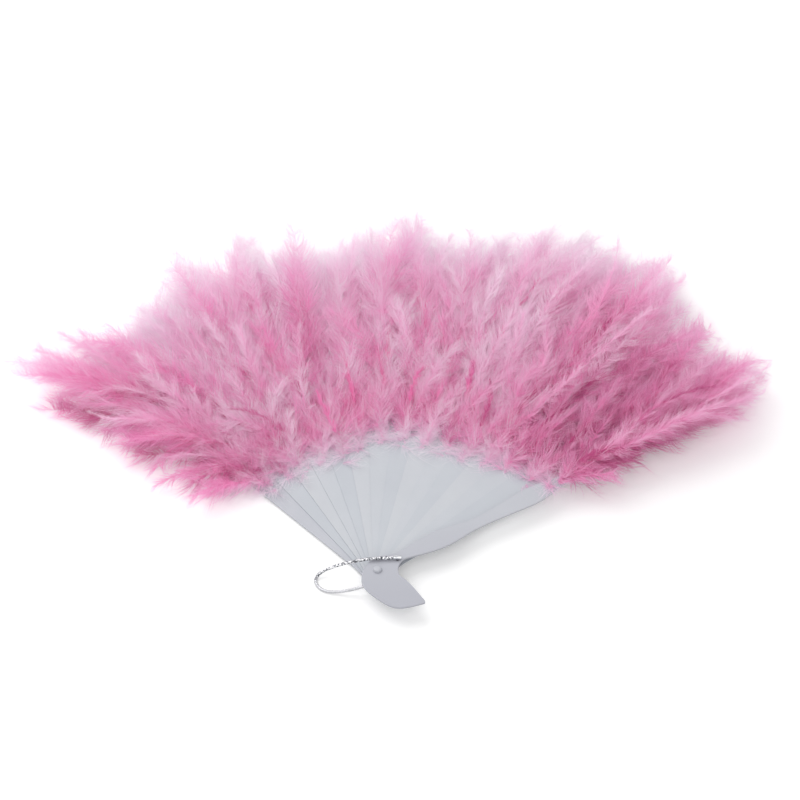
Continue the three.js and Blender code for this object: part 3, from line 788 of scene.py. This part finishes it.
def feather(rng, row, root, heading, lift, length, own, inner, seat):
    """Centrelines, face directions, widths, colour places and tones of one feather's strands.

    The last three values are the feather's own tone, the radius where the stick's feathers begin
    and the height of its upper face.
    """
    half_width, shaft, stem = feather_stem(rng, row, root, heading, lift, length)
    barbs = feather_barbs(rng, row, half_width, shaft, stem)
    s, wisp, lines, face, inside, stem_faces = barbs
    x, y, z = (lines[:, :, i] for i in range(3))
    radius = np.hypot(x, y)
    far = smooth((radius - reach_limit(x, y) + FAR_FROM) / FAR_OVER)
    near = smooth((inner + NEAR_OVER - radius) / NEAR_OVER)
    high = np.maximum(smooth((z - seat - DEPTH_FROM) / DEPTH_OVER), np.maximum(far, near))
    # Painted light at the rim, less at the shaded ends, and painted shade deep in the pile.
    rim = far * (1 - RIM_LOSS * end_shade(heading))
    tone = scatter(rng, own, TONE_SCATTER, wisp)
    tone += RIM_TONE * rim[:, -1]
    tone += NEAR_TONE * near[:, -1]
    tone -= DEPTH_TONE * (1 - high[:, -1])
    tone = np.clip(tone, 0, 1)
    width = row.fine * rng.uniform(*BARB_WIDTHS, len(s))
    width *= WIDTH_AT_ROOT - WIDTH_LOSS * s
    width *= 1 - WIDTH_LOSS_FAR * far[:, -1]
    s = s[:, None]
    u = np.linspace(0, 1, BARB_POINTS)
    place = PLACE_ROOT + PLACE_STEM * s ** PLACE_STEM_POWER
    place = row.pale * (place + lerp(PLACE_BARB, s) * u ** PLACE_BARB_POWER)
    # Painted light at the rim and painted shade deep in the pile.
    place = (place + PLACE_RIM * rim + PLACE_NEAR * near) * lerp((PLACE_DEPTH, 1), high)
    place = np.clip(place, 0, 1)
    lines, face, width, place, tone = (v[inside] for v in (lines, face, width, place, tone))
    # The stem itself: two crossed strips.
    pick = np.linspace(0, STEM_POINTS - 1, BARB_POINTS).astype(int)
    stem_place = np.linspace(*STEM_PLACES, BARB_POINTS)
    lines = np.concatenate([lines, np.repeat(stem[None, pick], 2, 0)])
    face = np.concatenate([face, stem_faces])
    width = np.append(width, [STEM_WIDTH] * 2) * BARB_WIDTH
    place = np.concatenate([place, np.repeat(stem_place[None], 2, 0)])
    tone = np.append(tone, [STEM_TONE] * 2)
    return lines, face, width, place, tone


def stick_feathers(k):
    """The strands of all the feathers on stick k."""
    rng = np.random.default_rng(FEATHER_SEED + k)
    angle, outward, onward = stick_axes(k)
    bottom = STICK_BOTTOMS[k] / MM
    top = (STICK_BOTTOMS[k] + STICK_DEPTHS[k]) / MM
    inner = FIRST_ROOTS[k] / MM
    longer = OUTLINE[k + OUTLINE_BEFORE] - OUTLINE_MEAN + END_LENGTHS.get(k, 0)
    # Painted shade on the sticks towards the front guard.
    shade = FRONT_SHADE * smooth((k - FRONT_SHADE_FROM) / FRONT_SHADE_OVER)
    made = []
    for rows in (UNDER, OVER, DOWN, BACK, PAINTED_SHADOWS):
        level = top + (PAINTED_SHADOW_SEAT if rows is PAINTED_SHADOWS else FRONT_SEAT)
        if rows is BACK:
            level = bottom - BACK_SEAT
        more = 0 if rows in (DOWN, PAINTED_SHADOWS) else REAR_EXTRA.get(k, 0)
        for place, row in enumerate(rows):
            outer = place / max(1, len(rows) - 1)
            count = row.count + more
            for i in range(count):
                t = (i + rng.uniform(*ROOT_JITTER)) / count
                if k == 0:
                    t = t ** REAR_LEAN
                at = inner + rng.uniform(*row.past)
                root = outward * at - onward * rng.uniform(-ROOT_SIDE, ROOT_SIDE)
                root = root + np.array([0, 0, level])
                yaw = lerp((-row.turn, row.turn), t if k < MIDDLE else 1 - t)
                heading = angle + math.radians(yaw + flare(k, t, outer))
                lift = math.radians(rng.uniform(*row.lifts))
                own = TONE_BASE + TONE_SHARE * rng.normal(row.tone, TONE_SPREAD) - shade
                # Painted shade at the fan's ends.
                if rows is not DOWN:
                    painted_end_shade = REAR_END_SHADE if k < MIDDLE else FRONT_END_SHADE
                    own -= painted_end_shade * end_shade(heading)
                length = rng.uniform(*row.lengths) + outer * longer / MM
                made.append(feather(rng, row, root, heading, lift, length, own, inner, top))
    return (np.concatenate(part) for part in zip(*made))


def strand_mesh(name, lines, face, width, place, tone):
    """One mesh of tapering strands, whose UV map holds each point's colour place and tone."""
    n, p = lines.shape[:2]
    tangent = unit(np.gradient(lines, axis=1))
    sideways = unit(np.cross(tangent, face[:, None]))
    taper = 1 - TAPER * np.linspace(0, 1, p) ** TAPER_POWER
    half = sideways * (0.5 * width[:, None] * taper[None])[:, :, None]
    verts = np.empty((n, 2 * p - 1, 3))
    verts[:, 0:-1:2] = (lines - half)[:, :-1]
    verts[:, 1::2] = (lines + half)[:, :-1]
    verts[:, -1] = lines[:, -1]
    low = verts[:, :, 2] < FLOOR_SOFT
    room = FLOOR_SOFT - FLOOR_CLEARANCE
    verts[low, 2] = FLOOR_CLEARANCE + room * np.exp((verts[low, 2] - FLOOR_SOFT) / room)
    high = verts[:, :, 2] > CEILING_SOFT
    room = CEILING - CEILING_SOFT
    verts[high, 2] = CEILING - room * np.exp((CEILING_SOFT - verts[high, 2]) / room)
    corners = []
    for i in range(p - 2):
        corners += [2 * i, 2 * i + 1, 2 * i + 3, 2 * i + 2]
    corners += [2 * p - 4, 2 * p - 3, 2 * p - 2]
    corners = np.array(corners)
    sizes = np.array([4] * (p - 2) + [3])
    base = np.arange(n)[:, None] * (2 * p - 1)
    loops = (base + corners).ravel()
    starts = np.concatenate([[0], np.cumsum(np.tile(sizes, n))[:-1]])
    u_at = np.empty((n, 2 * p - 1))
    u_at[:, 0:-1:2] = u_at[:, 1::2] = place[:, :-1]
    u_at[:, -1] = place[:, -1]
    v_at = np.empty((n, 2 * p - 1))
    v_at[:, 0:-1:2] = tone[:, None] - UV_HALF
    v_at[:, 1::2] = tone[:, None] + UV_HALF
    v_at[:, -1] = tone
    uv = lerp((UV_MARGIN, 1 - UV_MARGIN), np.stack([u_at, np.clip(v_at, 0, 1)], 2))
    mesh = bpy.data.meshes.new(name)
    mesh.vertices.add(n * (2 * p - 1))
    mesh.vertices.foreach_set("co", verts.astype(np.float32).ravel())
    mesh.loops.add(len(loops))
    mesh.loops.foreach_set("vertex_index", loops.astype(np.int32))
    mesh.polygons.add(len(starts))
    mesh.polygons.foreach_set("loop_start", starts.astype(np.int32))
    layer = mesh.uv_layers.new(name="OFBake")
    layer.uv.foreach_set("vector", uv[:, corners].astype(np.float32).ravel())
    mesh.update(calc_edges=True)
    mesh.validate()
    mesh.shade_smooth()
    return mesh


def marabou_material():
    m = new_material("marabou")
    uv = m.split(m.add("ShaderNodeUVMap", uv_map="OFBake").outputs["UV"])
    place, tone = uv["X"], uv["Y"]
    shaded_pinks, deep, pale = (
        m.ramp(place, [(at, srgb(*c)) for at, c in zip(MARABOU_PLACES, colours)])
        for colours in (SHADED_PINKS, DEEP, PALE)
    )
    # Tones below deep pink blend in the shaded pinks, mostly painted shade.
    low = m.mix(m.map_range(tone, 0, TONE_DEEP), shaded_pinks, deep)
    colour = m.mix(m.map_range(tone, TONE_DEEP, 1), low, pale)
    m.set(Base_Color=colour, Roughness=0.8, Specular_IOR_Level=0.06)
    through = m.add("ShaderNodeBsdfTranslucent")
    m.link(colour, through.inputs["Color"])
    blend = m.add("ShaderNodeMixShader", Fac=SHINE_THROUGH)
    m.link(m.shader.outputs["BSDF"], blend.inputs[1])
    m.link(through.outputs["BSDF"], blend.inputs[2])
    m.link(blend.outputs["Shader"], m.tree.nodes["Material Output"].inputs["Surface"])
    return m.owner


def make_feathers():
    marabou = marabou_material()
    for k in range(STICKS):
        obj = add_mesh(strand_mesh(f"feathers_{k:02d}", *stick_feathers(k)))
        obj.data.materials.append(marabou)
        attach(obj, stick_name(k))
        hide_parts(f"plume_{k:02d}")


make_feathers()


# Floor, world and lamps.
FLOOR_HALF = 14.0
# The floor's glow, for the camera's rays alone, grows between these distances from the pivot.
FLOOR_GLOW = (0.2, 0.45)
FLOOR_GLOW_OVER = (0.6, 2.5)
# The world's strength as a light, and where it is seen directly or mirrored.
WORLD_LIGHT = 0.62
WORLD_SEEN = 1.0
LAMP_SIZE = 2.0
LAMPS = [("key", (-0.9, 0.95, 1.6), 21), ("fill", (-0.1, -1.3, 1.75), 11)]


def make_floor():
    a = FLOOR_HALF
    corners = [(-a, -a, 0), (a, -a, 0), (a, a, 0), (-a, a, 0)]
    obj = mesh_object("floor", corners, [(0, 1, 2, 3)], rounded=False)
    m = new_material("floor")
    place = m.add("ShaderNodeTexCoord").outputs["Object"]
    away = m.add("ShaderNodeVectorMath", operation="LENGTH")
    m.link(place, away.inputs[0])
    glow = m.map_range(away.outputs["Value"], *FLOOR_GLOW_OVER, *FLOOR_GLOW)
    ray = m.add("ShaderNodeLightPath").outputs["Is Camera Ray"]
    m.set(
        Base_Color=(0.9, 0.9, 0.9),
        Roughness=0.9,
        Specular_IOR_Level=0.1,
        Emission_Color=(1, 1, 1),
        Emission_Strength=m.calc("MULTIPLY", ray, glow),
    )
    obj.data.materials.append(m.owner)


def make_world():
    w = Nodes(bpy.data.worlds.new("world"))
    scene.world = w.owner
    back = w.tree.nodes["Background"]
    w.feed((1, 1, 1), back.inputs["Color"])
    ray = w.add("ShaderNodeLightPath").outputs
    # Light that passes through a feather counts as scattered light, not as a view of the backdrop.
    clear = w.calc("SUBTRACT", 1.0, ray["Is Diffuse Ray"])
    through = w.calc("MULTIPLY", ray["Is Transmission Ray"], clear)
    mirrored = w.calc("MAXIMUM", ray["Is Glossy Ray"], through)
    seen = w.calc("MAXIMUM", ray["Is Camera Ray"], mirrored)
    w.link(w.map_range(seen, 0, 1, WORLD_LIGHT, WORLD_SEEN), back.inputs["Strength"])


def make_lamp(name, place, power):
    data = bpy.data.lights.new(name, "AREA")
    data.shape = "DISK"
    data.size = LAMP_SIZE
    data.energy = power
    obj = bpy.data.objects.new(name, data)
    obj.location = place
    obj.rotation_euler = (AIM - Vector(place)).to_track_quat("-Z", "Y").to_euler()
    scene.collection.objects.link(obj)


make_floor()
make_world()
for lamp in LAMPS:
    make_lamp(*lamp)
